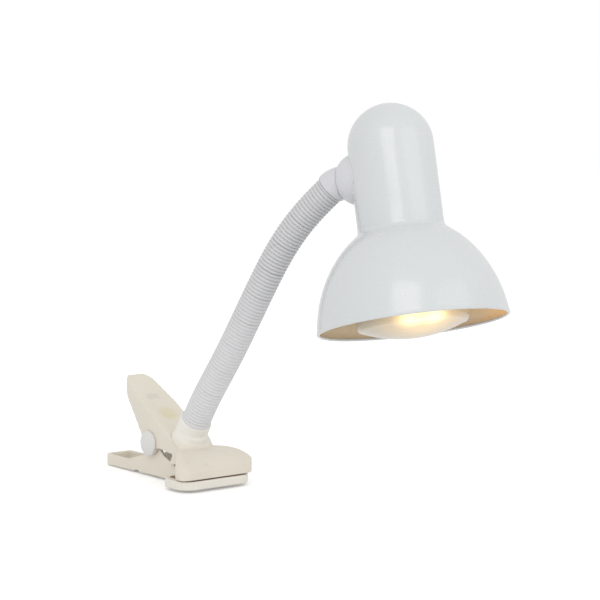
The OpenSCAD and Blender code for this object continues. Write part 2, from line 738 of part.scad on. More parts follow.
// ---- bulb ----
// Half outline of the glass, neck to face; inset gives its inside
function glass_outline(inset) = let (
        face_r = 92,
        edge = bulb_r - 2)
    concat(
        [[11.3 - inset, glass_top_z + (inset > 0 ? 1 : 0)],
         [12.6 - inset, glass_top_z - 12], [15 - inset, glass_top_z - 22],
         [22.5 - inset, glass_top_z - 36], [31.5 - inset, glass_top_z - 50],
         [37 - inset, glass_top_z - 62], [bulb_r - inset, glass_top_z - 71],
         [bulb_r - inset, glass_top_z - 76],
         [bulb_r - 0.8 - inset, glass_top_z - 80]],
        [for (i = [0:8]) let (x = (edge - inset) * (1 - i / 8))
            [x, bulb_face_z + inset + face_r - sqrt(face_r * face_r - x * x)]]);

module bulb_glass() color([0.95, 0.93, 0.85, 0.6]) in_head() rotate_extrude() difference() {
    polygon(concat([[0, glass_top_z]], glass_outline(0)));
    polygon(concat([[0, glass_top_z + 1]], glass_outline(glass_t)));
}

module bulb_base() color(brass) in_head() {
    low = bulb_top_z - tip_l - insulator_l - screw_cap_l;
    pitch = 3.6;
    rotate_extrude() polygon(concat(
        [[11.75, low]],
        [for (i = [0:4]) each [[screw_cap_r, low + 1.4 + i * pitch],
                               [screw_cap_r - 0.9, low + 1.4 + (i + 0.5) * pitch]]],
        [[screw_cap_r - 3, low + screw_cap_l], [screw_cap_r - 4, low + screw_cap_l],
         [11.65, low + screw_cap_l - 2.4]]));
}

module bulb_insulator() color([0.1, 0.1, 0.12]) in_head()
    translate([0, 0, bulb_top_z - tip_l - insulator_l]) difference() {
        cylinder(h = insulator_l, r1 = screw_cap_r - 3.1, r2 = 5.5);
        translate([0, 0, -1]) cylinder(h = insulator_l + 2, r = 1.5);
    }

module bulb_contact() color(brass) in_head() {
    translate([0, 0, bulb_top_z - tip_l + seat_gap])
        cylinder(h = tip_l - seat_gap, r1 = 4.8, r2 = 3.6);
    translate([0, 0, bulb_top_z - tip_l - insulator_l])
        cylinder(h = insulator_l + 0.2, r = 1.4);
}

module filament() color([0.95, 0.75, 0.35]) in_head() translate([0, 0, filament_z])
    rotate([0, 0, -100]) rotate_extrude(angle = 200) translate([filament_r, 0]) circle(0.5, $fn = 16);

module filament_mount() color(steel) in_head() {
    stem_low = filament_z + 14;
    translate([0, 0, stem_low]) cylinder(h = glass_top_z - stem_low, r = 4);
    for (a = [-100, 100]) let (
            foot = [filament_r * cos(a), filament_r * sin(a), filament_z + 0.5],
            head = [2 * cos(a), 2 * sin(a), stem_low + 1])
        swept_wire([foot, [foot[0], foot[1], filament_z + 5], head], 0.4);
}

upper_lever();
lower_lever();
upper_pad();
lower_pad();
pivot_pin();
pivot_caps();
torsion_spring();
neck_ferrule();
neck_washer();
neck_nut();
cord_bush();
for (k = [1:neck_n])
    neck_cover(k);
for (k = [1:neck_n])
    neck_conduit(k);
elbow();
nipple();
nipple_washer();
nipple_nut();
swivel_dome();
head_shell();
holder_bracket();
bracket_screws();
holder_cap();
terminal_screws();
holder_body();
contact_shell();
centre_contact();
lead_wires();
bulb_base();
bulb_insulator();
bulb_contact();
bulb_glass();
filament();
filament_mount();
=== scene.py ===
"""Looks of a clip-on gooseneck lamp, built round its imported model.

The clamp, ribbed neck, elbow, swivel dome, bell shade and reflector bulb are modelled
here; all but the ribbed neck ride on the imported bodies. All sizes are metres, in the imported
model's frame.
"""

import json
import math

import bmesh
import bpy
from bpy.props import (FloatProperty, FloatVectorProperty, IntProperty, PointerProperty)
from mathutils import Matrix, Vector


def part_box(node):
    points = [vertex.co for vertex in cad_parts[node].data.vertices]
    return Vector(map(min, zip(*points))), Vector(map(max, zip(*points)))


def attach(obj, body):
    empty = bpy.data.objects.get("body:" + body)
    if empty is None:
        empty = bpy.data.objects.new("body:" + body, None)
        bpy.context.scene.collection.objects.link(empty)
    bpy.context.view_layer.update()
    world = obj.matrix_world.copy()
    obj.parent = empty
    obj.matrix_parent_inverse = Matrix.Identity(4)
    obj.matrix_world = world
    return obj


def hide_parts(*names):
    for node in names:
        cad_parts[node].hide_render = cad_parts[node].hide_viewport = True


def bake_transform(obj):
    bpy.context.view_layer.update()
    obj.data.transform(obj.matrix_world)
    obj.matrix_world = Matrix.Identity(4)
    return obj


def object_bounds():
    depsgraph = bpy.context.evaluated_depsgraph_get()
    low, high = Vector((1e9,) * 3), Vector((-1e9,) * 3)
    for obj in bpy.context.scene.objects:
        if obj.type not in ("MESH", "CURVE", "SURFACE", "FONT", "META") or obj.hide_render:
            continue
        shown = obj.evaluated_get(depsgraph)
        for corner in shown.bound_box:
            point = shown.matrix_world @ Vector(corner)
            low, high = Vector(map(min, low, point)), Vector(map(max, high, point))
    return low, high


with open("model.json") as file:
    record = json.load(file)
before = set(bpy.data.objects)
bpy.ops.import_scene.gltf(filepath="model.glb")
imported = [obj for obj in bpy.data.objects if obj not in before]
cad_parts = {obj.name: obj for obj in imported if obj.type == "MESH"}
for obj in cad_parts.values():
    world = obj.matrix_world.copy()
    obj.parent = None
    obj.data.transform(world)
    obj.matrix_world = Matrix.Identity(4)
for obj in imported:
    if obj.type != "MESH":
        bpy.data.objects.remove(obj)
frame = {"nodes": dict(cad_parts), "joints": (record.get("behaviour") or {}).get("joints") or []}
cad_box = [list(corner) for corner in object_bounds()]

bl_info = {
    "name": "Gooseneck clip lamp",
    "version": (1, 0, 0),
    "blender": (4, 5, 0),
    "location": "View3D > Sidebar > Lamp",
    "description": "Builds a clip-on lamp with a ribbed neck and a bell shade",
    "category": "Object",
}

JOINTS = {joint["name"]: joint for joint in frame["joints"]}


# ---------------------------------------------------------------- sizes and colours
def length(name, about, default):
    return FloatProperty(name=name, description=about, default=default, unit="LENGTH",
                         precision=5)


def colour(name, about, default):
    return FloatVectorProperty(name=name, description=about, default=default,
                               subtype="COLOR", size=4, min=0.0, max=1.0)


def angle(name, about, degrees):
    return FloatProperty(name=name, description=about, default=math.radians(degrees),
                         subtype="ANGLE")


class ClampLook(bpy.types.PropertyGroup):
    """Finish of the two moulded levers and the pivot caps."""
    voxel: length("Voxel", "Grid that the levers' edges are rounded on", 0.00062)
    soften: IntProperty(name="Soften", description="Passes that round the moulded edges",
                        default=9, min=0)
    cap_radius: length("Cap radius", "Radius of a round pivot cap", 0.0096)
    cap_height: length("Cap height", "Thickness of a pivot cap", 0.004)
    plastic: colour("Plastic", "Ivory plastic of the levers", (0.745, 0.698, 0.600, 1))
    # on the boss this paler colour is a painted highlight over the same ivory plastic
    pale: colour("Pale", "Plastic of the boss and the lower jaw", (0.815, 0.790, 0.740, 1))
    boss_highlight_centre: FloatVectorProperty(name="Boss centre", description="Middle of the boss",
                                     default=(-0.0155, 0.0, 0.0358), subtype="XYZ", unit="LENGTH")
    boss_highlight_reach: length("Boss reach", "Neck's foot to the edge of the paler boss", 0.017)
    aged: colour("Aged", "Plastic where it has yellowed", (0.690, 0.610, 0.400, 1))


class NeckLook(bpy.types.PropertyGroup):
    """Shape of the ribbed sleeve round the bendable neck."""
    radius: length("Radius", "Radius over the ribs", 0.01075)
    rib_depth: length("Rib depth", "Depth of a groove near the head", 0.0015)
    low_rib_depth: length("Low rib depth", "Depth of a groove near the foot", 0.00075)
    ribs: IntProperty(name="Ribs", description="Ribs on each length of the neck", default=8)
    steps: IntProperty(name="Steps", description="Rings that shape one rib", default=8)
    around: IntProperty(name="Around", description="Sides of a ring", default=56)
    wall: length("Wall", "Thickness of the sleeve", 0.0007)
    flange_radius: length("Flange radius", "Radius of the flange on the boss", 0.0113)
    flange_height: length("Flange height", "Height of the flange on the boss", 0.0012)
    foot_rise: angle("Foot rise", "Slope of the neck where it leaves the boss", 55)
    head_rise: angle("Head rise", "Slope of the neck where it meets the elbow", 43)
    plastic: colour("Plastic", "Pale grey plastic of the sleeve", (0.675, 0.675, 0.690, 1))
    # painted shade: the sleeve is painted darker towards the head
    painted_shade_from: length("Dark from", "Height where the sleeve starts to darken", 0.070)
    painted_shade_to: length("Dark to", "Height where the sleeve is darkest", 0.165)
    painted_shade_share: FloatProperty(name="Dark share", description="Brightness left at the head",
                              default=0.90)


class HeadLook(bpy.types.PropertyGroup):
    """Shape of the elbow, the swivel dome and the bell shade."""
    roll: angle("Roll", "Turn of the head about the swivel axis", -9.7)
    reach: length("Reach", "Swivel face to the shade's axis", 0.0395)
    elbow_radius: length("Elbow radius", "Radius of the elbow", 0.0117)
    ball_radius: length("Ball radius", "Radius of the dome's ball", 0.0188)
    cap_radius: length("Cap radius", "Radius of the shade's cap", 0.030)
    cap_up: length("Cap up", "Cap dome's centre above the swivel axis", 0.0184)
    cap_length: length("Cap length", "Cap dome's centre to the waist", 0.0603)
    rim_radius: length("Rim radius", "Radius of the shade's mouth", 0.0663)
    bell_height: length("Bell height", "Waist to rim", 0.065)
    bell_tuck: length("Bell tuck", "Rim to the bell curve's widest level", 0.0085)
    wall: length("Wall", "Thickness of the shade", 0.0008)
    lip: length("Lip", "Radius of the rolled lip", 0.0011)
    enamel: colour("Enamel", "White enamel of the shade", (0.628, 0.650, 0.657, 1))
    # painted light: the inner colour is white enamel with the bulb's warm light painted into it
    inner: colour("Inner", "Enamel inside the shade, in the bulb's light", (0.80, 0.66, 0.46, 1))
    moulding: colour("Moulding", "White plastic of the elbow and dome", (0.635, 0.637, 0.662, 1))


class BulbLook(bpy.types.PropertyGroup):
    """Shape and glow of the reflector bulb."""
    radius: length("Radius", "Radius of the bulb's face", 0.0395)
    inset: length("Inset", "Rim up to the bulb's face, negative when it stands out", -0.009)
    length: length("Length", "Overall length of the bulb", 0.115)
    glow: FloatProperty(name="Glow", description="Strength of the lit face", default=1.6)
    glass: colour("Glass", "Frosted glass of the face", (0.52, 0.46, 0.36, 1))


class StageLook(bpy.types.PropertyGroup):
    """Camera, lights and floor."""
    azimuth: angle("Azimuth", "Turn of the camera about the lamp", 52)
    elevation: angle("Elevation", "Height angle of the camera", 5.5)
    distance: length("Distance", "Camera to the point it looks at", 1.400)
    lens: FloatProperty(name="Lens", description="Focal length in millimetres", default=112.7)
    aim: FloatVectorProperty(name="Aim", description="Point the camera looks at",
                             default=(0.0276, 0.0662, 0.1281), subtype="XYZ", unit="LENGTH")
    sky: FloatProperty(name="Sky", description="Strength of the even white light", default=0.86)


# ---------------------------------------------------------------- shared shader groups
def make_group(name, inputs, outputs):
    """An empty shader group with named sockets: (tree, its inputs, its outputs)."""
    tree = bpy.data.node_groups.new(name, "ShaderNodeTree")
    kinds = {"float": "NodeSocketFloat", "color": "NodeSocketColor", "vector": "NodeSocketVector"}
    for label, kind, default in inputs:
        socket = tree.interface.new_socket(label, in_out="INPUT", socket_type=kinds[kind])
        if default is not None:
            socket.default_value = default
    for label, kind in outputs:
        tree.interface.new_socket(label, in_out="OUTPUT", socket_type=kinds[kind])
    return tree, tree.nodes.new("NodeGroupInput"), tree.nodes.new("NodeGroupOutput")


def noise(tree, vector, scale, detail=3.0, roughness=0.5):
    """Noise value over a vector, at a scale that is a number or a socket."""
    node = tree.nodes.new("ShaderNodeTexNoise")
    node.inputs["Detail"].default_value = detail
    node.inputs["Roughness"].default_value = roughness
    tree.links.new(vector, node.inputs["Vector"])
    if isinstance(scale, (int, float)):
        node.inputs["Scale"].default_value = scale
    else:
        tree.links.new(scale, node.inputs["Scale"])
    return node.outputs["Fac"]


def spread(tree, value, low, high, to_low, to_high, smooth=False):
    """Map Range: value from low..high to to_low..to_high."""
    node = tree.nodes.new("ShaderNodeMapRange")
    if smooth:
        node.interpolation_type = "SMOOTHSTEP"
    tree.links.new(value, node.inputs["Value"])
    for label, item in zip(("From Min", "From Max", "To Min", "To Max"),
                           (low, high, to_low, to_high)):
        if isinstance(item, (int, float)):
            node.inputs[label].default_value = item
        else:
            tree.links.new(item, node.inputs[label])
    return node.outputs["Result"]


def mix_colour(tree, factor, a, b):
    """Colour between a and b, by factor."""
    node = tree.nodes.new("ShaderNodeMix")
    node.data_type = "RGBA"
    for label, item in (("Factor", factor), ("A", a), ("B", b)):
        socket = [s for s in node.inputs if s.name == label and s.enabled][0]
        if isinstance(item, (int, float, tuple)):
            socket.default_value = item
        else:
            tree.links.new(item, socket)
    return [s for s in node.outputs if s.enabled][0]


def maths(tree, operation, a, b=0.0):
    """Result of a Math node on numbers or sockets."""
    node = tree.nodes.new("ShaderNodeMath")
    node.operation = operation
    for socket, item in zip(node.inputs, (a, b)):
        if isinstance(item, (int, float)):
            socket.default_value = item
        else:
            tree.links.new(item, socket)
    return node.outputs[0]


def build_mottle_group():
    """Slow drift between two colours, for enamel, plastic and rubber."""
    tree, given, out = make_group(
        "Mottle", [("Vector", "vector", None), ("Colour", "color", (0.8, 0.8, 0.8, 1)),
                   ("Drift", "color", (0.7, 0.7, 0.7, 1)), ("Scale", "float", 20.0),
                   ("Amount", "float", 0.3)],
        [("Colour", "color"), ("Mask", "float")])
    broad = noise(tree, given.outputs["Vector"], given.outputs["Scale"], 4.0, 0.55)
    mask = spread(tree, broad, 0.38, 0.66, 0.0, given.outputs["Amount"], smooth=True)
    tree.links.new(mix_colour(tree, mask, given.outputs["Colour"], given.outputs["Drift"]),
                   out.inputs["Colour"])
    tree.links.new(mask, out.inputs["Mask"])
    return tree


def build_grain_group():
    """Height of a moulded or sprayed surface: a broad ripple with fine grain on it."""
    tree, given, out = make_group(
        "SurfaceGrain", [("Vector", "vector", None), ("Ripple", "float", 120.0),
                         ("Grain", "float", 1500.0), ("Grain share", "float", 0.3)],
        [("Height", "float"), ("Spread", "float")])
    ripple = noise(tree, given.outputs["Vector"], given.outputs["Ripple"], 2.0)
    grain = noise(tree, given.outputs["Vector"], given.outputs["Grain"], 2.0)
    part = maths(tree, "MULTIPLY", grain, given.outputs["Grain share"])
    tree.links.new(maths(tree, "ADD", ripple, part), out.inputs["Height"])
    tree.links.new(ripple, out.inputs["Spread"])
    return tree


def build_speck_group():
    """Sparse small specks of dust and scuffs, as a mask."""
    tree, given, out = make_group(
        "Specks", [("Vector", "vector", None), ("Scale", "float", 260.0),
                   ("Share", "float", 0.3)], [("Mask", "float")])
    dots = noise(tree, given.outputs["Vector"], given.outputs["Scale"], 1.0)
    patches = noise(tree, given.outputs["Vector"], 31.0, 2.0)
    sharp = spread(tree, dots, 0.70, 0.78, 0.0, 1.0, smooth=True)
    where = spread(tree, patches, 0.45, 0.65, 0.0, 1.0, smooth=True)
    both = maths(tree, "MULTIPLY", sharp, where)
    tree.links.new(maths(tree, "MULTIPLY", both, given.outputs["Share"]), out.inputs["Mask"])
    return tree


GROUPS = {}


def group(name):
    """The shared shader group of that name, built the first time it is asked for."""
    builders = {"Mottle": build_mottle_group, "SurfaceGrain": build_grain_group,
                "Specks": build_speck_group}
    if name not in GROUPS:
        GROUPS[name] = builders[name]()
    return GROUPS[name]


def distance(tree, where, centre):
    """Distance of each point of the surface from centre."""
    node = tree.nodes.new("ShaderNodeVectorMath")
    node.operation = "DISTANCE"
    tree.links.new(where, node.inputs[0])
    node.inputs[1].default_value = centre
    return node.outputs["Value"]


def axes(tree, vector):
    """The vector's three parts, by the names X, Y and Z."""
    node = tree.nodes.new("ShaderNodeSeparateXYZ")
    tree.links.new(vector, node.inputs[0])
    return node.outputs


def place_group(tree, name, vector, **values):
    """A shared shader group with its own values."""
    node = tree.nodes.new("ShaderNodeGroup")
    node.node_tree = group(name)
    tree.links.new(vector, node.inputs["Vector"])
    for label, value in values.items():
        node.inputs[label.replace("_", " ")].default_value = value
    return node


# ---------------------------------------------------------------- materials
def bare_material(name):
    """(material, tree, Principled node, Object coordinates)"""
    material = bpy.data.materials.new(name)
    material.use_nodes = True
    tree = material.node_tree
    shader = tree.nodes["Principled BSDF"]
    coordinates = tree.nodes.new("ShaderNodeTexCoord").outputs["Object"]
    return material, tree, shader, coordinates


def bump(tree, shader, height, strength, distance):
    node = tree.nodes.new("ShaderNodeBump")
    node.inputs["Strength"].default_value = strength
    node.inputs["Distance"].default_value = distance
    tree.links.new(height, node.inputs["Height"])
    tree.links.new(node.outputs["Normal"], shader.inputs["Normal"])


def darker(rgba, share):
    """The colour at a share of its brightness."""
    return tuple(c * share for c in rgba[:3]) + (1.0,)


def coated(name, base, drift, rough=(0.3, 0.42), scale=14.0, amount=0.35, coat=0.0,
           coat_rough=0.1, ripple=160.0, grain=1600.0, grain_share=0.25, depth=0.00004,
           specks=0.25, metal=0.0, speck_colour=(0.42, 0.38, 0.32, 1)):
    """Painted, moulded or plated surface: colour drift, specks, uneven gloss, fine relief."""
    material, tree, shader, where = bare_material(name)
    tint = place_group(tree, "Mottle", where, Colour=tuple(base), Drift=tuple(drift),
                       Scale=scale, Amount=amount)
    relief = place_group(tree, "SurfaceGrain", where, Ripple=ripple, Grain=grain,
                         Grain_share=grain_share)
    dust = place_group(tree, "Specks", where, Share=specks)
    body = mix_colour(tree, dust.outputs["Mask"], tint.outputs["Colour"], tuple(speck_colour))
    tree.links.new(body, shader.inputs["Base Color"])
    tree.links.new(spread(tree, relief.outputs["Spread"], 0.3, 0.7, rough[0], rough[1]),
                   shader.inputs["Roughness"])
    shader.inputs["Metallic"].default_value = metal
    shader.inputs["Coat Weight"].default_value = coat
    shader.inputs["Coat Roughness"].default_value = coat_rough
    bump(tree, shader, relief.outputs["Height"], 0.35, depth)
    return material, tree, shader, where, body


def enamel_material(name, base):
    return coated(name, base, darker(base, 0.955), rough=(0.20, 0.30), coat=0.35,
                  coat_rough=0.12, ripple=120.0, grain_share=0.03, depth=0.00003,
                  specks=0.10, amount=0.5, scale=9.0)[0]


def inner_enamel_material(look, head):
    """Enamel inside the shade, its colour tinted with painted bulb light, and a painted glow on
    the side away from the neck.
    """
    base = tuple(look.inner)
    material, tree, shader, where, body = coated(
        "White_enamel_inside", base, darker(base, 0.94), rough=(0.30, 0.42), coat=0.2,
        ripple=120.0, grain_share=0.03, depth=0.00003, specks=0.10, amount=0.5, scale=9.0)
    # painted light: a fixed glow patch on the inner enamel stands in for the bulb's light
    painted_bulb_glow = patch_mask(tree, where, head.point(0.056, 0.026, head.rim + 0.016), 0.030, 0.034)
    tree.links.new(mix_colour(tree, painted_bulb_glow, (0.0, 0.0, 0.0, 1), (0.34, 0.13, 0.0, 1)),
                   shader.inputs["Emission Color"])
    shader.inputs["Emission Strength"].default_value = 1.0
    return material


def white_plastic_material(name, base):
    return coated(name, base, darker(base, 0.95), rough=(0.30, 0.42), ripple=300.0,
                  specks=0.12, amount=0.5)[0]


def ivory_material(look):
    """Ivory plastic that has yellowed on the handle, with a paler boss above that whose paleness
    is a painted highlight, a darker grey rectangle, and a paler lower jaw.
    """
    base, aged = tuple(look.plastic), tuple(look.aged)
    material, tree, shader, where, body = coated(
        "Ivory_plastic", base, darker(base, 0.93), rough=(0.34, 0.48), scale=26.0,
        amount=0.45, ripple=260.0, specks=0.22)
    pivot = Vector(JOINTS["clamp_open"]["pos_m"])
    stain = patch_mask(tree, where, pivot + Vector((0.005, 0.0, 0.0247)), 0.0075, 0.0035)
    streaks = noise(tree, where, 240.0, 3.0)
    stain = maths(tree, "MULTIPLY", stain, spread(tree, streaks, 0.3, 0.62, 0.45, 0.95))
    grey = panel_mask(tree, where, pivot + Vector((-0.0155, -0.001, 0.0359)), 0.0052, 0.0030)
    # painted highlight: the boss is painted paler, standing in for light falling on it
    boss = patch_mask(tree, where, Vector(look.boss_highlight_centre), look.boss_highlight_reach, 0.004)
    pale = mix_colour(tree, boss, body, tuple(look.pale))
    # the lower jaw lies below the grip face and in front of the lever
    parts = axes(tree, where)
    low = spread(tree, parts["Z"], -0.0006, 0.0002, 0.55, 0.0)
    jaw = maths(tree, "MULTIPLY", low, spread(tree, parts["X"], -0.024, -0.018, 0.0, 1.0))
    pale = mix_colour(tree, jaw, pale, tuple(look.pale))
    shade = mix_colour(tree, maths(tree, "MULTIPLY", grey, 0.55), pale, (0.60, 0.575, 0.51, 1))
    shade = mix_colour(tree, stain, shade, aged)
    tree.links.new(shade, shader.inputs["Base Color"])
    return material


def patch_mask(tree, where, centre, radius, fade):
    """1 near centre, fading to 0 past radius."""
    return spread(tree, distance(tree, where, centre), radius - fade, radius + fade, 1.0, 0.0,
                  smooth=True)


def panel_mask(tree, where, centre, half_width, half_length):
    """1 inside a soft-edged rectangle seen from above, along Y and X."""
    offset = tree.nodes.new("ShaderNodeVectorMath")
    offset.operation = "SUBTRACT"
    tree.links.new(where, offset.inputs[0])
    offset.inputs[1].default_value = centre
    parts = axes(tree, offset.outputs["Vector"])
    fade = 0.0008
    sides = [spread(tree, maths(tree, "ABSOLUTE", parts[axis]), half - fade,
                    half + fade, 1.0, 0.0, smooth=True)
             for axis, half in (("X", half_length), ("Y", half_width))]
    above = spread(tree, parts["Z"], -0.006, -0.004, 0.0, 1.0)
    return maths(tree, "MULTIPLY", maths(tree, "MULTIPLY", *sides), above)


def neck_material(look):
    """Grey sleeve, with painted shade darkening it towards the head."""
    base = tuple(look.plastic)
    material, tree, shader, where, body = coated(
        "Neck_plastic", base, darker(base, 0.94), rough=(0.42, 0.55), scale=30.0,
        ripple=420.0, specks=0.15, amount=0.5)
    # painted shade: the sleeve darkens with height towards the head
    high = spread(tree, axes(tree, where)["Z"], look.painted_shade_from, look.painted_shade_to, 0.0, 1.0)
    tree.links.new(mix_colour(tree, high, body, darker(base, look.painted_shade_share)),
                   shader.inputs["Base Color"])
    return material


def steel_material(name="Plated_steel", base=(0.50, 0.50, 0.52, 1), rough=(0.24, 0.42)):
    return coated(name, base, darker(base, 0.8), rough=rough, metal=1.0, scale=90.0,
                  amount=0.6, ripple=700.0, grain=3200.0, depth=0.00003,
                  speck_colour=(0.30, 0.22, 0.15, 1))[0]


def brass_material():
    base = (0.62, 0.46, 0.20, 1)
    return coated("Brass", base, darker(base, 0.75), rough=(0.2, 0.36), metal=1.0,
                  scale=110.0, amount=0.6, ripple=600.0, speck_colour=(0.2, 0.12, 0.05, 1))[0]


def rubber_material():
    base = (0.30, 0.205, 0.145, 1)
    return coated("Pad_rubber", base, darker(base, 0.7), rough=(0.65, 0.85), scale=60.0,
                  ripple=900.0, grain=4200.0, grain_share=0.6, depth=0.00012)[0]


def bakelite_material():
    base = (0.028, 0.026, 0.026, 1)
    return coated("Black_bakelite", base, (0.05, 0.04, 0.035, 1), rough=(0.28, 0.42),
                  coat=0.2, ripple=300.0, speck_colour=(0.2, 0.18, 0.16, 1))[0]


def lead_material():
    base = (0.18, 0.10, 0.06, 1)
    return coated("Lead_sleeve", base, darker(base, 0.8), rough=(0.35, 0.5))[0]


def hot_wire_material():
    material, tree, shader, where = bare_material("Hot_wire")
    coils = noise(tree, where, 2600.0, 1.0)
    tree.links.new(mix_colour(tree, coils, (1.0, 0.62, 0.20, 1), (1.0, 0.86, 0.55, 1)),
                   shader.inputs["Emission Color"])
    shader.inputs["Base Color"].default_value = (0.9, 0.7, 0.4, 1)
    shader.inputs["Emission Strength"].default_value = 20.0
    shader.inputs["Roughness"].default_value = 0.4
    return material


def bulb_material(look, head):
    """Frosted glass of the lit bulb, its glow painted as fixed bright lobes off the axis near the
    face's edge nearest the camera, set for one view rather than centred on the hot wire.
    """
    material, tree, shader, where = bare_material("Frosted_bulb")
    base = tuple(look.glass)
    # painted light: the bulb does glow, but these bright lobes are fixed hot spots placed for one
    # view, not light spreading from the hot wire
    low = head.rim + look.inset + 0.008
    painted_glow_spots = ((head.point(0.011, -0.036, low), 0.015, 0.42),
             (head.point(0.027, -0.028, low), 0.015, 0.42),
             (head.point(0.019, -0.026, low), 0.056, 0.55))
    glow = None
    for spot, reach, share in painted_glow_spots:
        painted_glow_spot = spread(tree, distance(tree, where, spot), 0.0, reach, share, 0.0, smooth=True)
        glow = painted_glow_spot if glow is None else maths(tree, "ADD", glow, painted_glow_spot)
    frost = noise(tree, where, 900.0, 2.0)
    glow = maths(tree, "MULTIPLY", glow, spread(tree, frost, 0.2, 0.8, 0.93, 1.04))
    ramp = tree.nodes.new("ShaderNodeValToRGB")
    stops = ramp.color_ramp.elements
    stops[0].position, stops[0].color = 0.0, (0.012, 0.010, 0.007, 1)
    stops[1].position, stops[1].color = 1.0, (1.0, 0.86, 0.42, 1)
    for place, rgba in ((0.14, (0.035, 0.026, 0.015, 1)), (0.34, (0.16, 0.105, 0.045, 1)),
                        (0.60, (0.42, 0.29, 0.11, 1))):
        stop = stops.new(place)
        stop.color = rgba
    tree.links.new(glow, ramp.inputs["Fac"])
    tree.links.new(ramp.outputs["Color"], shader.inputs["Emission Color"])
    shader.inputs["Emission Strength"].default_value = look.glow
    tree.links.new(mix_colour(tree, frost, base, darker(base, 0.93)),
                   shader.inputs["Base Color"])
    shader.inputs["Roughness"].default_value = 0.28
    shader.inputs["Coat Weight"].default_value = 0.4
    bump(tree, shader, frost, 0.2, 0.00003)
    return material


def silver_material():
    """Mirror coat inside the bulb's flank, seen through its glass."""
    base = (0.66, 0.65, 0.62, 1)
    return coated("Silvered_glass", base, darker(base, 0.85), rough=(0.12, 0.22), metal=0.85,
                  scale=40.0, coat=0.6, ripple=300.0)[0]


MATERIALS = {}


def material(name, maker=None, *args):
    """The material of that name, made once."""
    if name not in MATERIALS:
        MATERIALS[name] = maker(*args)
    return MATERIALS[name]


# ---------------------------------------------------------------- shapes
def smooth(mesh):
    """Shades every face of a mesh smooth."""
    mesh.polygons.foreach_set("use_smooth", [True] * len(mesh.polygons))


def new_piece(name, mesh_maker, materials):
    """Makes an object whose mesh the function fills through a bmesh."""
    shape = bmesh.new()
    mesh_maker(shape)
    mesh = bpy.data.meshes.new(name)
    shape.to_mesh(mesh)
    shape.free()
    for item in materials:
        mesh.materials.append(item)
    smooth(mesh)
    piece = bpy.data.objects.new(name, mesh)
    bpy.context.scene.collection.objects.link(piece)
    return piece


def spun(shape, outline, steps, place, closed=True):
    """Turns an outline of (radius, height) round +Z, then moves it to its place."""
    points = [shape.verts.new((radius, 0, height)) for radius, height in outline]
    count = len(points)
    edges = [shape.edges.new((points[i], points[(i + 1) % count]))
             for i in range(count if closed else count - 1)]
    bmesh.ops.spin(shape, geom=points + edges, cent=(0, 0, 0), axis=(0, 0, 1),
                   angle=2 * math.pi, steps=steps, use_merge=True)
    bmesh.ops.remove_doubles(shape, verts=shape.verts, dist=1e-6)
    bmesh.ops.recalc_face_normals(shape, faces=shape.faces)
    bmesh.ops.transform(shape, matrix=place, verts=shape.verts)


def swept(shape, stations, sides):
    """A closed tube through stations of (centre, direction, radius), out and back."""
    centre, along, radius = stations[0]
    bmesh.ops.create_circle(shape, segments=sides, radius=1.0, cap_ends=False)
    ring = list(shape.verts)
    edges = list(shape.edges)
    first = list(edges)
    rest = {v: v.co.copy() for v in ring}

    def put(verts, before, centre, along, radius):
        turn = upright(centre, along)
        for vert in verts:
            vert.co = turn @ (before[vert] * radius)

    put(ring, rest, centre, along, radius)
    for centre, along, radius in stations[1:]:
        made = bmesh.ops.extrude_edge_only(shape, edges=edges)["geom"]
        edges_new = [g for g in made if isinstance(g, bmesh.types.BMEdge)]
        verts_new = [g for g in made if isinstance(g, bmesh.types.BMVert)]
        edges_new = [e for e in edges_new if all(v in set(verts_new) for v in e.verts)]
        unit = {}
        for vert in verts_new:
            for edge in vert.link_edges:
                other = edge.other_vert(vert)
                if other in rest:
                    unit[vert] = rest[other]
        put(verts_new, unit, centre, along, radius)
        rest, edges = unit, edges_new
    bmesh.ops.bridge_loops(shape, edges=edges + first)
    bmesh.ops.recalc_face_normals(shape, faces=shape.faces)


def upright(centre, along):
    """Matrix that stands +Z along a direction at a centre, without twisting."""
    z = along.normalized()
    x = Vector((0, 1, 0)).cross(z).normalized()
    y = z.cross(x)
    turn = Matrix((x, y, z)).transposed().to_4x4()
    turn.translation = centre
    return turn


def applied(piece):
    """Replaces a piece's mesh by what its modifiers make of it."""
    graph = bpy.context.evaluated_depsgraph_get()
    mesh = bpy.data.meshes.new_from_object(piece.evaluated_get(graph))
    piece.modifiers.clear()
    piece.data = mesh
    return piece


def cut(piece, cutter):
    """Takes a cutter's volume out of a piece, and removes the cutter."""
    modifier = piece.modifiers.new("Cut", "BOOLEAN")
    modifier.operation = "DIFFERENCE"
    modifier.solver = "EXACT"
    modifier.object = cutter
    applied(piece)
    bpy.data.objects.remove(cutter)


def arc(centre, radius, start, end, steps):
    """Points of a circle's arc, angles in degrees from +radius towards +height."""
    return [(centre[0] + radius * math.cos(math.radians(start + (end - start) * i / steps)),
             centre[1] + radius * math.sin(math.radians(start + (end - start) * i / steps)))
            for i in range(steps + 1)]


def eased(start, corner, end, shares):
    """Points of the curve that leaves start and reaches end, drawn to a corner."""
    return [tuple((1 - s) ** 2 * start + 2 * s * (1 - s) * corner + s ** 2 * end)
            for s in shares]


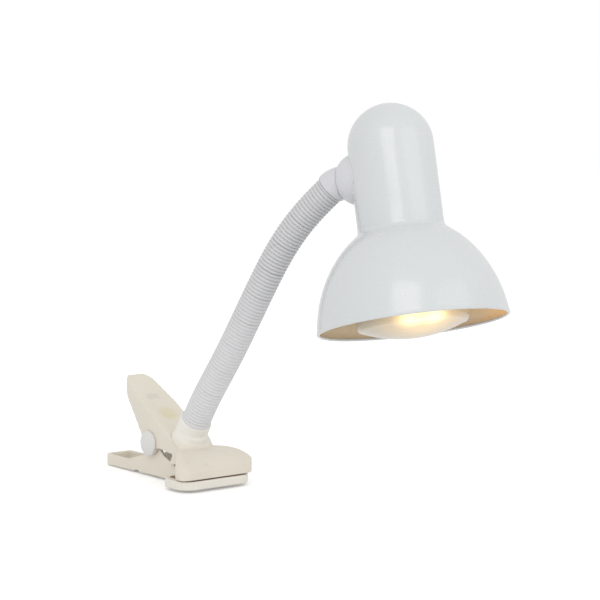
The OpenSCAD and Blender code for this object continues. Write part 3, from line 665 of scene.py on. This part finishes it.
class Neck:
    """Centre line of the neck, from its joints."""

    def __init__(self, look):
        points = [Vector(j["pos_m"]) for j in frame["joints"] if j["name"].startswith("neck_")]
        step = (points[1] - points[0]).length
        swivel = Vector(JOINTS["head_turn"]["axis"])
        self.flat = Vector((swivel.x, swivel.y, 0)).normalized()
        start = Vector((math.cos(look.foot_rise), 0, math.sin(look.foot_rise)))
        end = self.flat * math.cos(look.head_rise) + Vector((0, 0, math.sin(look.head_rise)))
        self.points = [points[0] - step * start] + points + [points[-1] + step * end]
        self.middles = [(a + b) / 2 for a, b in zip(self.points, self.points[1:])]
        self.step = step

    def stretch(self, k, share):
        """Point and direction on the smooth bend about joint k, share from 0 to 1."""
        a, b, c = self.middles[k - 1], self.points[k], self.middles[k]
        point = (1 - share) ** 2 * a + 2 * share * (1 - share) * b + share ** 2 * c
        return point, (1 - share) * (b - a) + share * (c - b)


class Head:
    """Place of the head: its origin is on the shade's axis, level with the swivel."""

    def __init__(self, look):
        joint = JOINTS["head_turn"]
        self.swivel = Vector(joint["pos_m"])
        self.x = Vector(joint["axis"]).normalized()
        side = Vector((0, 0, 1)).cross(self.x).normalized()
        up = self.x.cross(side)
        self.z = Matrix.Rotation(look.roll, 3, self.x) @ up
        self.y = self.z.cross(self.x)
        self.origin = self.swivel + look.reach * self.x
        self.matrix = Matrix((self.x, self.y, self.z)).transposed().to_4x4()
        self.matrix.translation = self.origin
        self.waist = look.cap_up - look.cap_length
        self.rim = self.waist - look.bell_height

    def point(self, x, y, z):
        return self.matrix @ Vector((x, y, z))

    def swivel_matrix(self):
        """+Z along the swivel axis into the head, from the swivel face."""
        turn = Matrix((-self.z, self.y, self.x)).transposed().to_4x4()
        turn.translation = self.swivel
        return turn


def looks():
    return bpy.context.scene.lamp_looks


class LampLooks(bpy.types.PropertyGroup):
    """All sizes and colours of the lamp's looks."""
    clamp: PointerProperty(type=ClampLook)
    neck: PointerProperty(type=NeckLook)
    head: PointerProperty(type=HeadLook)
    bulb: PointerProperty(type=BulbLook)
    stage: PointerProperty(type=StageLook)


# ---------------------------------------------------------------- operators
class LAMP_OT_levers(bpy.types.Operator):
    """Two moulded clamp levers with rounded edges"""
    bl_idname = "lamp.levers"
    bl_label = "Clamp levers"

    def execute(self, context):
        look = looks().clamp
        ivory = material("ivory", ivory_material, look)
        for node, body in (("upper_lever", "clamp_upper"), ("lower_lever", "clamp_lower")):
            piece = moulded_copy(node, node + "_moulding", look, ivory)
            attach(piece, body)
            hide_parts(node)
        return {"FINISHED"}


def moulded_copy(node, name, look, finish):
    """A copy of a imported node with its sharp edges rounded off."""
    shape = bmesh.new()
    shape.from_mesh(frame["nodes"][node].data)
    bmesh.ops.remove_doubles(shape, verts=shape.verts, dist=2e-6)
    mesh = bpy.data.meshes.new(name)
    shape.to_mesh(mesh)
    shape.free()
    piece = bpy.data.objects.new(name, mesh)
    bpy.context.scene.collection.objects.link(piece)
    grid = piece.modifiers.new("Grid", "REMESH")
    grid.mode = "VOXEL"
    grid.voxel_size = look.voxel
    even = piece.modifiers.new("Even", "SMOOTH")
    even.factor = 0.5
    even.iterations = look.soften
    thin = piece.modifiers.new("Thin", "DECIMATE")
    thin.ratio = 0.45
    applied(piece)
    piece.data.materials.clear()
    piece.data.materials.append(finish)
    smooth(piece.data)
    return piece


class LAMP_OT_pivot_caps(bpy.types.Operator):
    """Two domed caps over the ends of the pivot pin"""
    bl_idname = "lamp.pivot_caps"
    bl_label = "Pivot caps"

    def execute(self, context):
        look = looks().clamp
        low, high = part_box("pivot_caps")
        middle = (low + high) / 2
        white = material("cap", white_plastic_material, "Cap_plastic", (0.70, 0.69, 0.675, 1))

        def both(shape):
            for side in (-1, 1):
                half = bmesh.new()
                edge, crown = look.cap_radius, look.cap_height
                lip, bulge = 0.0006, 0.0022
                dome = (edge * edge + bulge ** 2) / (2 * bulge)
                reach = math.degrees(math.asin((edge - lip) / dome))
                outline = [(0, 0), (edge - lip, 0)]
                outline += arc((edge - lip, lip), lip, -90, 0, 3)[1:]
                outline += arc((edge - lip, crown - bulge - lip), lip, 0, 60, 3)
                outline += arc((0, crown - dome), dome, 90 - reach, 90, 12)
                turn = Matrix.Rotation(-side * math.pi / 2, 4, "X")
                foot = high.y - crown
                turn.translation = Vector((middle.x, side * foot, middle.z))
                spun(half, outline, 48, turn, closed=True)
                mesh = bpy.data.meshes.new("half")
                half.to_mesh(mesh)
                half.free()
                shape.from_mesh(mesh)
                bpy.data.meshes.remove(mesh)
            bmesh.ops.recalc_face_normals(shape, faces=shape.faces)

        piece = new_piece("pivot_cap_pair", both, [white])
        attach(piece, "clamp_upper")
        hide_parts("pivot_caps")
        return {"FINISHED"}


class LAMP_OT_neck(bpy.types.Operator):
    """Ribbed sleeve in nine stretches that bend across the neck's joints"""
    bl_idname = "lamp.neck"
    bl_label = "Ribbed neck"

    def execute(self, context):
        look = looks().neck
        neck = Neck(look)
        grey = material("neck", neck_material, look)
        count = len(neck.points) - 2
        for k in range(1, count + 1):
            stations = self.stations(look, neck, k, count)
            piece = new_piece(f"neck_sleeve_{k}", lambda shape: swept(shape, stations,
                                                                     look.around), [grey])
            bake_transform(piece)
            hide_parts(f"neck_cover_{k + 1}", *(["neck_cover_1"] if k == 1 else []))
        return {"FINISHED"}

    def stations(self, look, neck, k, count):
        """Rings of one stretch: up the ribs outside and back down the bore."""
        per_length = look.ribs * look.steps
        rings = []
        if k == 1:
            way = neck.middles[0] - neck.points[0]
            for i in range(per_length // 2):
                rings.append((neck.points[0] + way * i / (per_length // 2), way, i / per_length))
        for i in range(per_length + 1):
            point, way = neck.stretch(k, i / per_length)
            rings.append((point, way, 0.5 + i / per_length + k - 1))
        if k == count:
            way = neck.points[-1] - neck.middles[-1]
            for i in range(1, per_length // 2 + 1):
                rings.append((neck.middles[-1] + way * i / (per_length // 2), way,
                              k + 0.5 + i / per_length))
        outside = []
        for point, way, at in rings:
            share = min(1.0, max(0.0, (at - 3.5) / 3.0))
            depth = look.low_rib_depth + share * (look.rib_depth - look.low_rib_depth)
            crest = abs(math.sin(math.pi * look.ribs * at)) ** 0.75
            radius = look.radius - depth * (1 - crest)
            if at * neck.step < look.flange_height:
                radius = look.flange_radius
            outside.append((point, way, radius))
        bore = look.radius - look.rib_depth - look.wall
        inside = [(point, way, bore) for point, way, at in rings[::-4]]
        if inside[-1][0] != rings[0][0]:
            inside.append((rings[0][0], rings[0][1], bore))
        return outside + inside


class LAMP_OT_elbow(bpy.types.Operator):
    """Curved elbow between the neck and the swivel"""
    bl_idname = "lamp.elbow"
    bl_label = "Elbow"

    def execute(self, context):
        look, neck_look = looks().head, looks().neck
        neck, head = Neck(neck_look), Head(look)
        white = material("moulding", white_plastic_material, "White_plastic",
                         tuple(look.moulding))
        rise_a = neck_look.head_rise
        rise_b = math.asin(head.x.z)
        start = neck.points[-1]
        bend = (head.swivel - start).length / (2 * math.sin((rise_a - rise_b) / 2))
        steps = 14

        def along(rise):
            return neck.flat * math.cos(rise) + Vector((0, 0, math.sin(rise)))

        def point(rise):
            return (start + neck.flat * bend * (math.sin(rise_a) - math.sin(rise))
                    + Vector((0, 0, bend * (math.cos(rise) - math.cos(rise_a)))))

        rises = [rise_a + (rise_b - rise_a) * i / steps for i in range(steps + 1)]
        body = [(point(r), along(r), look.elbow_radius) for r in rises]
        round_off = 0.0007
        wall = 0.0030
        first, last = body[0], body[-1]
        way_a, way_b = first[1], last[1]
        turns = [math.radians(90 * i / 4) for i in range(1, 5)]
        head_end = [(last[0] - way_b * round_off * (1 - math.sin(turn)), way_b,
                     look.elbow_radius - round_off * (1 - math.cos(turn))) for turn in turns]
        neck_end = [(first[0], way_a, look.elbow_radius - round_off * (1 - i / 4))
                    for i in range(4)]
        bore = look.elbow_radius - wall
        stations = (neck_end + body[1:-1] + head_end + [(last[0], way_b, bore)]
                    + [(point(r), along(r), bore) for r in rises[::-2][1:]]
                    + [(first[0], way_a, bore)])
        piece = new_piece("elbow_moulding", lambda shape: swept(shape, stations, 64), [white])
        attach(piece, "neck_10")
        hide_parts("elbow")
        return {"FINISHED"}


class LAMP_OT_dome(bpy.types.Operator):
    """Swivel dome on the side of the shade's cap"""
    bl_idname = "lamp.dome"
    bl_label = "Swivel dome"

    def execute(self, context):
        look = looks().head
        head = Head(look)
        white = material("moulding")
        ball = look.ball_radius
        sunk = 0.28
        centre = look.reach - look.cap_radius + ball * sunk
        top = 0.0003
        flat = math.sqrt(ball ** 2 - (centre - top) ** 2)
        edge = 0.0005
        start = math.degrees(math.atan2(flat, -(centre - top)))
        outline = [(0.0051, top + 0.0002), (flat - edge, top)]
        outline += self.ball_arc(ball, centre, start, 70, 30)
        outline += [(0.0051, centre + ball * 0.6)]
        piece = new_piece("swivel_dome_moulding",
                          lambda shape: spun(shape, outline, 96, head.swivel_matrix()), [white])
        drum = new_piece("cutter", lambda shape: bmesh.ops.create_cone(
            shape, cap_ends=True, segments=160, radius1=look.cap_radius - 0.0002,
            radius2=look.cap_radius - 0.0002, depth=0.2, matrix=head.matrix), [])
        cut(piece, drum)
        smooth(piece.data)
        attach(piece, "head")
        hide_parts("swivel_dome")
        return {"FINISHED"}

    def ball_arc(self, ball, centre, start, end, steps):
        """Outline of the ball from the swivel face towards the shade."""
        points = []
        for i in range(steps + 1):
            turn = math.radians(start + (end - start) * i / steps)
            points.append((ball * math.sin(turn), centre + ball * math.cos(turn)))
        return points


class LAMP_OT_shade(bpy.types.Operator):
    """Bell shade with a domed cap and a rolled lip"""
    bl_idname = "lamp.shade"
    bl_label = "Bell shade"

    def execute(self, context):
        look = looks().head
        head = Head(look)
        outside = material("enamel", enamel_material, "White_enamel", tuple(look.enamel))
        inside = material("enamel inside", inner_enamel_material, look, head)
        outer = self.outline(look, head, 0.0)
        inner = self.outline(look, head, look.wall)
        lip_centre = (look.rim_radius - look.lip + 0.0003, head.rim + 0.0003)
        lip = arc(lip_centre, look.lip, 35, -215, 16)
        outline = outer[:-1] + lip + inner[-2::-1]
        piece = new_piece("bell_shade",
                          lambda shape: spun(shape, outline, 128, head.matrix, closed=False),
                          [outside, inside])
        self.paint_inside(piece, look, head)
        hole = new_piece("cutter", lambda shape: bmesh.ops.create_cone(
            shape, cap_ends=True, segments=32, radius1=0.0053, radius2=0.0053, depth=0.016,
            matrix=head.swivel_matrix() @ Matrix.Translation((0, 0, look.reach
                                                              - look.cap_radius))), [outside])
        cut(piece, hole)
        smooth(piece.data)
        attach(piece, "head")
        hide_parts("head_shell")
        return {"FINISHED"}

    def outline(self, look, head, inset):
        """Half section from the crown to the rim, moved inwards by inset."""
        tuck = look.bell_tuck
        reach = look.bell_height + tuck
        rim, cap = look.rim_radius, look.cap_radius
        share = (rim * reach) ** 2 - (cap * tuck) ** 2
        tall = math.sqrt(share / (rim ** 2 - cap ** 2)) - inset
        wide = math.sqrt(share / (reach ** 2 - tuck ** 2)) - inset
        low = head.rim - tuck
        cap -= inset
        points = [(cap * math.sin(math.radians(t)),
                   look.cap_up + cap * math.cos(math.radians(t))) for t in range(0, 90, 5)]
        points += [(cap, look.cap_up), (cap, look.cap_up * 0.2), (cap, head.waist * 0.5)]
        # fillet between the cap's straight side and the bell
        fillet = 0.0062
        turn = math.asin(cap / wide)
        corner = Vector((cap, low + tall * math.cos(turn)))
        slope = Vector((wide * math.cos(turn), -tall * math.sin(turn))).normalized()
        back = fillet * math.tan((math.pi / 2 - math.atan2(-slope.y, slope.x)) / 2)
        start, end = corner + Vector((0, back)), corner + slope * back
        points += eased(start, corner, end, [i / 6 for i in range(7)])
        begin = math.asin(end.x / wide) + 0.02
        stop = math.acos((head.rim - low) / tall)
        steps = 26
        points += [(wide * math.sin(begin + (stop - begin) * i / steps),
                    low + tall * math.cos(begin + (stop - begin) * i / steps))
                   for i in range(steps + 1)]
        return points

    def paint_inside(self, piece, look, head):
        """Gives the faces that look inwards the inner paint."""
        back = head.matrix.inverted()
        crown = Vector((0, 0, look.cap_up))
        for face in piece.data.polygons:
            place = back @ face.center
            normal = (head.matrix.to_3x3().inverted() @ face.normal)
            out = place - (crown if place.z > look.cap_up else Vector((0, 0, place.z)))
            if normal.dot(out) < 0 and place.z > head.rim + look.lip:
                face.material_index = 1


class LAMP_OT_bulb(bpy.types.Operator):
    """Reflector bulb: frosted, glowing face and silvered flank"""
    bl_idname = "lamp.bulb"
    bl_label = "Reflector bulb"

    def execute(self, context):
        look = looks().bulb
        head = Head(looks().head)
        frosted = material("bulb", bulb_material, look, head)
        silver = material("silver", silver_material)
        face = head.rim + look.inset
        screw_length = 0.0226
        neck_top = face + look.length - screw_length
        flank = [(0.0116, 0), (0.0126, -0.012), (0.015, -0.022), (0.0225, -0.036),
                 (0.0315, -0.050), (0.0370, -0.062), (look.radius, -0.071)]
        ball = 0.092
        edge = look.radius - 0.0035
        crown = [(r, face + ball - math.sqrt(ball ** 2 - r ** 2))
                 for r in (edge * (1 - i / 12) for i in range(13))]
        corner = Vector((look.radius, crown[0][1] - 0.0002))
        start, end = Vector((look.radius, neck_top - 0.0755)), Vector(crown[0])
        bend = eased(start, corner, end, [i / 7 for i in range(1, 7)])
        smooth_flank = self.curve([(r, neck_top + z) for r, z in flank] + [tuple(start)])
        outside = smooth_flank + bend + crown
        glass = 0.0009
        inside = [(max(0.0, r - glass), z + (glass if z < neck_top - 0.077 else 0))
                  for r, z in outside]
        inside[-1] = (0.0, inside[-1][1])
        outline = outside + inside[::-1]
        piece = new_piece("reflector_bulb",
                          lambda shape: spun(shape, outline, 96, head.matrix), [frosted, silver])
        back = head.matrix.inverted()
        line = neck_top - 0.066
        for polygon in piece.data.polygons:
            if (back @ polygon.center).z > line:
                polygon.material_index = 1
        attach(piece, "head")
        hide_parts("bulb_glass")
        return {"FINISHED"}

    def curve(self, points, steps=4):
        """Smooth line through points."""
        ends = [points[0]] + points + [points[-1]]
        line = []
        for i in range(1, len(ends) - 2):
            a, b, c, d = (Vector(p) for p in ends[i - 1:i + 3])
            for s in (n / steps for n in range(steps)):
                line.append(tuple(0.5 * (2 * b + (c - a) * s + (2 * a - 5 * b + 4 * c - d) * s ** 2
                                         + (3 * b - a - 3 * c + d) * s ** 3)))
        return line + [tuple(points[-1])]


class LAMP_OT_fittings(bpy.types.Operator):
    """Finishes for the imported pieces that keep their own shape"""
    bl_idname = "lamp.fittings"
    bl_label = "Fittings"

    def execute(self, context):
        steel = material("steel", steel_material)
        dark_steel = material("conduit", steel_material, "Conduit_steel",
                              (0.34, 0.34, 0.36, 1), (0.35, 0.5))
        brass = material("brass", brass_material)
        black = material("bakelite", bakelite_material)
        rubber = material("rubber", rubber_material)
        lead = material("lead", lead_material)
        hot = material("hot wire", hot_wire_material)
        finishes = {
            steel: ["pivot_pin", "torsion_spring", "neck_ferrule", "neck_washer",
                    "nipple_washer", "holder_bracket", "bracket_screws", "filament_mount"],
            brass: ["neck_nut", "nipple", "nipple_nut", "terminal_screws", "contact_shell",
                    "centre_contact", "bulb_base", "bulb_contact"],
            black: ["holder_cap", "holder_body", "bulb_insulator", "cord_bush"],
            rubber: ["upper_pad", "lower_pad"],
            lead: ["lead_wires"],
            hot: ["filament"],
            dark_steel: [n for n in frame["nodes"] if n.startswith("neck_conduit_")],
        }
        for finish, names in finishes.items():
            for name in names:
                frame["nodes"][name].material_slots[0].material = finish
        return {"FINISHED"}


class LAMP_OT_stage(bpy.types.Operator):
    """Pale floor, even soft light and the camera"""
    bl_idname = "lamp.stage"
    bl_label = "Stage"

    def execute(self, context):
        look = looks().stage
        scene = context.scene
        camera_data = bpy.data.cameras.new("Camera")
        camera_data.lens = look.lens
        camera = bpy.data.objects.new("Camera", camera_data)
        scene.collection.objects.link(camera)
        back = Vector((math.sin(look.azimuth) * math.cos(look.elevation),
                       -math.cos(look.azimuth) * math.cos(look.elevation),
                       math.sin(look.elevation)))
        camera.location = Vector(look.aim) + back * look.distance
        camera.rotation_euler = back.to_track_quat("Z", "Y").to_euler()
        scene.camera = camera
        self.floor()
        self.world(look)
        for name, place, size, power, tint in (
                ("Key", (1.2, -1.3, 1.5), 1.2, 9.0, (1.0, 0.99, 0.97)),
                ("Fill", (1.7, 0.5, 0.9), 1.4, 4.0, (1.0, 1.0, 0.98))):
            self.lamp(name, Vector(place), size, power, tint)
        scene.view_settings.view_transform = "Standard"
        return {"FINISHED"}

    def floor(self):
        ground = cad_box[0][2] - 0.0005
        piece = new_piece("floor", lambda shape: bmesh.ops.create_grid(
            shape, x_segments=1, y_segments=1, size=6.0,
            matrix=Matrix.Translation((0, 0, ground))), [])
        finish, tree, shader, where = bare_material("Pale_floor")
        grain = noise(tree, where, 40.0, 2.0)
        tree.links.new(mix_colour(tree, grain, (0.93, 0.93, 0.93, 1), (0.95, 0.95, 0.95, 1)),
                       shader.inputs["Base Color"])
        shader.inputs["Roughness"].default_value = 0.9
        shader.inputs["Specular IOR Level"].default_value = 0.1
        seen = tree.nodes.new("ShaderNodeLightPath")
        shader.inputs["Emission Color"].default_value = (1.0, 1.0, 1.0, 1)
        tree.links.new(maths(tree, "MULTIPLY", seen.outputs["Is Camera Ray"], 0.22),
                       shader.inputs["Emission Strength"])
        piece.data.materials.append(finish)

    def world(self, look):
        world = bpy.data.worlds.new("Studio")
        world.use_nodes = True
        background = world.node_tree.nodes["Background"]
        background.inputs["Color"].default_value = (1.0, 1.0, 1.0, 1)
        background.inputs["Strength"].default_value = look.sky
        tree = world.node_tree
        seen = tree.nodes.new("ShaderNodeLightPath")
        backdrop = tree.nodes.new("ShaderNodeBackground")
        backdrop.inputs["Color"].default_value = (1.0, 1.0, 1.0, 1)
        choice = tree.nodes.new("ShaderNodeMixShader")
        tree.links.new(seen.outputs["Is Camera Ray"], choice.inputs[0])
        tree.links.new(background.outputs[0], choice.inputs[1])
        tree.links.new(backdrop.outputs[0], choice.inputs[2])
        tree.links.new(choice.outputs[0], tree.nodes["World Output"].inputs[0])
        bpy.context.scene.world = world

    def lamp(self, name, place, size, power, tint):
        data = bpy.data.lights.new(name, "AREA")
        data.size = size
        data.energy = power
        data.color = tint
        light = bpy.data.objects.new(name, data)
        light.location = place
        aim = Vector(looks().stage.aim)
        light.rotation_euler = (place - aim).to_track_quat("Z", "Y").to_euler()
        bpy.context.scene.collection.objects.link(light)


class LAMP_PT_panel(bpy.types.Panel):
    """Sidebar panel that lists the lamp's pieces"""
    bl_idname = "LAMP_PT_panel"
    bl_label = "Gooseneck clip lamp"
    bl_space_type = "VIEW_3D"
    bl_region_type = "UI"
    bl_category = "Lamp"

    def draw(self, context):
        for operator in OPERATORS:
            self.layout.operator(operator.bl_idname)
        for part in ("clamp", "neck", "head", "bulb", "stage"):
            box = self.layout.box()
            look = getattr(context.scene.lamp_looks, part)
            for name in look.__annotations__:
                box.prop(look, name)


OPERATORS = (LAMP_OT_stage, LAMP_OT_levers, LAMP_OT_pivot_caps, LAMP_OT_neck, LAMP_OT_elbow,
             LAMP_OT_dome, LAMP_OT_shade, LAMP_OT_bulb, LAMP_OT_fittings)
CLASSES = (ClampLook, NeckLook, HeadLook, BulbLook, StageLook, LampLooks) + OPERATORS + (
    LAMP_PT_panel,)


def register():
    for item in CLASSES:
        bpy.utils.register_class(item)
    bpy.types.Scene.lamp_looks = PointerProperty(type=LampLooks)


def unregister():
    del bpy.types.Scene.lamp_looks
    for item in reversed(CLASSES):
        bpy.utils.unregister_class(item)


def main():
    register()
    for operator in OPERATORS:
        group_name, call = operator.bl_idname.split(".")
        getattr(getattr(bpy.ops, group_name), call)()


if __name__ == "__main__":
    main()
